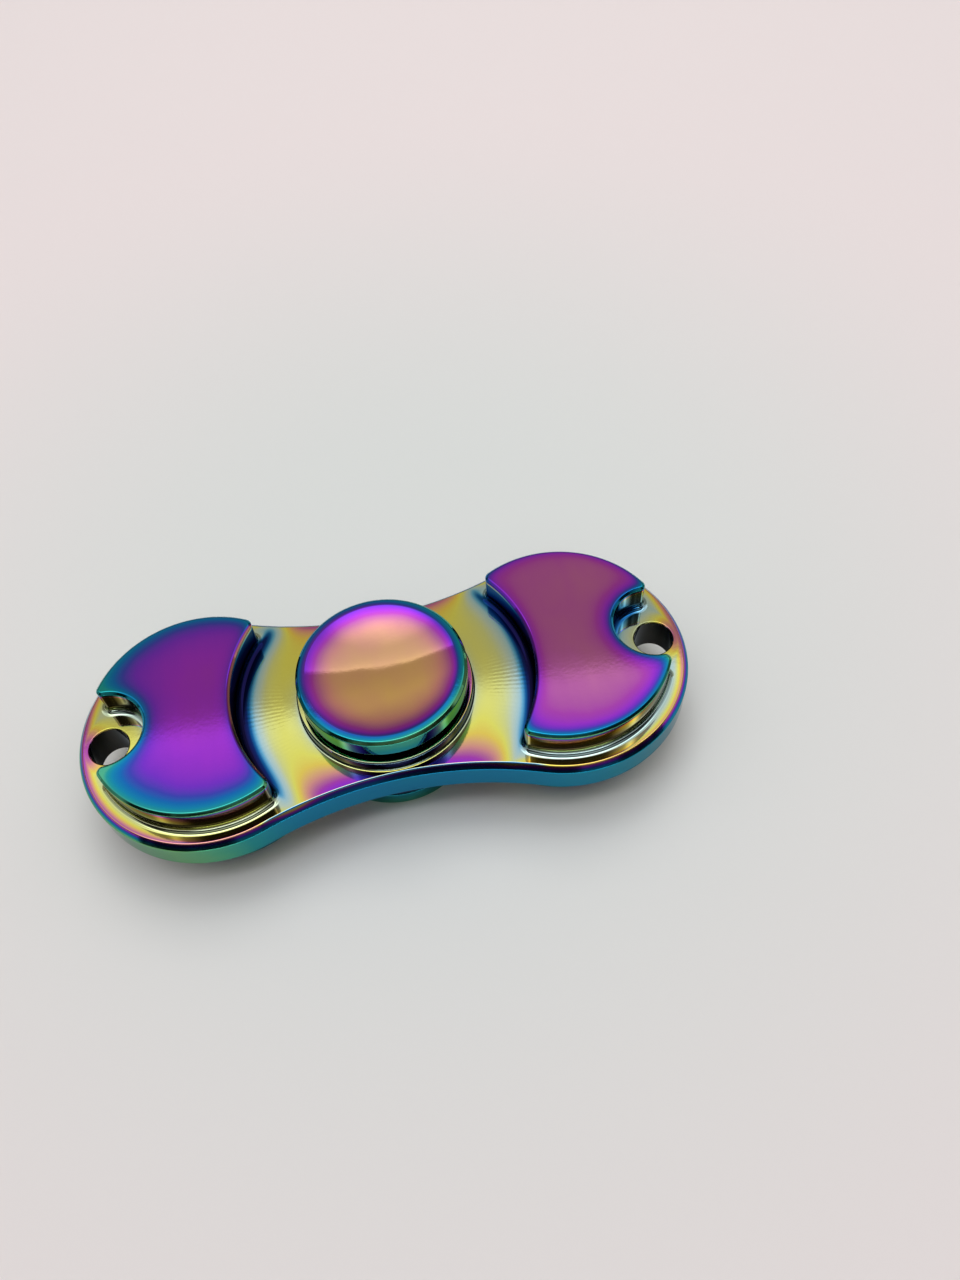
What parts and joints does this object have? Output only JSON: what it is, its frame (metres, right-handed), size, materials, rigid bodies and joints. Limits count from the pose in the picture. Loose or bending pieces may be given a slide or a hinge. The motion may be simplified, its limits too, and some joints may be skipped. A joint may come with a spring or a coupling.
{
  "type": "fidget spinner",
  "caption": "Two-lobed plated metal fidget spinner with raised weights, end eyes, a ball bearing hub and dished finger caps.",
  "frame": {"origin": "on the spin axis, at the rim of the lower finger cap, which is what the spinner rests on", "axes": "+Z along the spin axis, upwards; +X along the two lobes; +Y across the waist"},
  "size_m": [0.0662, 0.0276, 0.0139],
  "materials": {
    "body_plate": "mirror polished, rainbow ion plated",
    "top_cap_plate": "mirror polished, rainbow ion plated",
    "bottom_cap_plate": "mirror polished, rainbow ion plated",
    "outer_ring_steel": "ground",
    "inner_ring_steel": "ground",
    "ball_steel": "polished",
    "cage_steel": "pressed",
    "shield_steel": "pressed",
    "clip_steel": "drawn wire"
  },
  "bodies": {
    "hub": {"finger_cap_top": "top_cap_plate", "finger_cap_bottom": "bottom_cap_plate", "bearing_inner_ring": "inner_ring_steel"},
    "rotor": {"spinner_body": "body_plate", "bearing_outer_ring": "outer_ring_steel", "bearing_shield_top": "shield_steel", "bearing_shield_bottom": "shield_steel", "shield_clip_top": "clip_steel", "shield_clip_bottom": "clip_steel"},
    "cage": {"bearing_cage": "cage_steel"},
    "ball_01": {"bearing_ball_01": "ball_steel"},
    "ball_02": {"bearing_ball_02": "ball_steel"},
    "ball_03": {"bearing_ball_03": "ball_steel"},
    "ball_04": {"bearing_ball_04": "ball_steel"},
    "ball_05": {"bearing_ball_05": "ball_steel"},
    "ball_06": {"bearing_ball_06": "ball_steel"},
    "ball_07": {"bearing_ball_07": "ball_steel"},
    "ball_08": {"bearing_ball_08": "ball_steel"},
    "ball_09": {"bearing_ball_09": "ball_steel"},
    "ball_10": {"bearing_ball_10": "ball_steel"}
  },
  "joints": [
    {"name": "rotor_spin", "type": "hinge", "parent": "hub", "child": "rotor", "pos_m": [0, 0, 0.00697], "axis": [0, 0, 1], "continuous": true},
    {"name": "cage_spin", "type": "hinge", "parent": "hub", "child": "cage", "pos_m": [0, 0, 0.00697], "axis": [0, 0, 1], "continuous": true},
    {"name": "ball_01_roll", "type": "hinge", "parent": "cage", "child": "ball_01", "pos_m": [0.00476, 0, 0.00697], "axis": [0, 0, 1], "continuous": true},
    {"name": "ball_02_roll", "type": "hinge", "parent": "cage", "child": "ball_02", "pos_m": [0.00385, 0.0028, 0.00697], "axis": [0, 0, 1], "continuous": true},
    {"name": "ball_03_roll", "type": "hinge", "parent": "cage", "child": "ball_03", "pos_m": [0.00147, 0.00453, 0.00697], "axis": [0, 0, 1], "continuous": true},
    {"name": "ball_04_roll", "type": "hinge", "parent": "cage", "child": "ball_04", "pos_m": [-0.00147, 0.00453, 0.00697], "axis": [0, 0, 1], "continuous": true},
    {"name": "ball_05_roll", "type": "hinge", "parent": "cage", "child": "ball_05", "pos_m": [-0.00385, 0.0028, 0.00697], "axis": [0, 0, 1], "continuous": true},
    {"name": "ball_06_roll", "type": "hinge", "parent": "cage", "child": "ball_06", "pos_m": [-0.00476, 0, 0.00697], "axis": [0, 0, 1], "continuous": true},
    {"name": "ball_07_roll", "type": "hinge", "parent": "cage", "child": "ball_07", "pos_m": [-0.00385, -0.0028, 0.00697], "axis": [0, 0, 1], "continuous": true},
    {"name": "ball_08_roll", "type": "hinge", "parent": "cage", "child": "ball_08", "pos_m": [-0.00147, -0.00453, 0.00697], "axis": [0, 0, 1], "continuous": true},
    {"name": "ball_09_roll", "type": "hinge", "parent": "cage", "child": "ball_09", "pos_m": [0.00147, -0.00453, 0.00697], "axis": [0, 0, 1], "continuous": true},
    {"name": "ball_10_roll", "type": "hinge", "parent": "cage", "child": "ball_10", "pos_m": [0.00385, -0.0028, 0.00697], "axis": [0, 0, 1], "continuous": true}
  ],
  "couplings": [
    {"joint": "cage_spin", "follows": "rotor_spin", "ratio": 0.58333},
    {"joint": "ball_01_roll", "follows": "rotor_spin", "ratio": 2.9167},
    {"joint": "ball_02_roll", "follows": "rotor_spin", "ratio": 2.9167},
    {"joint": "ball_03_roll", "follows": "rotor_spin", "ratio": 2.9167},
    {"joint": "ball_04_roll", "follows": "rotor_spin", "ratio": 2.9167},
    {"joint": "ball_05_roll", "follows": "rotor_spin", "ratio": 2.9167},
    {"joint": "ball_06_roll", "follows": "rotor_spin", "ratio": 2.9167},
    {"joint": "ball_07_roll", "follows": "rotor_spin", "ratio": 2.9167},
    {"joint": "ball_08_roll", "follows": "rotor_spin", "ratio": 2.9167},
    {"joint": "ball_09_roll", "follows": "rotor_spin", "ratio": 2.9167},
    {"joint": "ball_10_roll", "follows": "rotor_spin", "ratio": 2.9167}
  ]
}
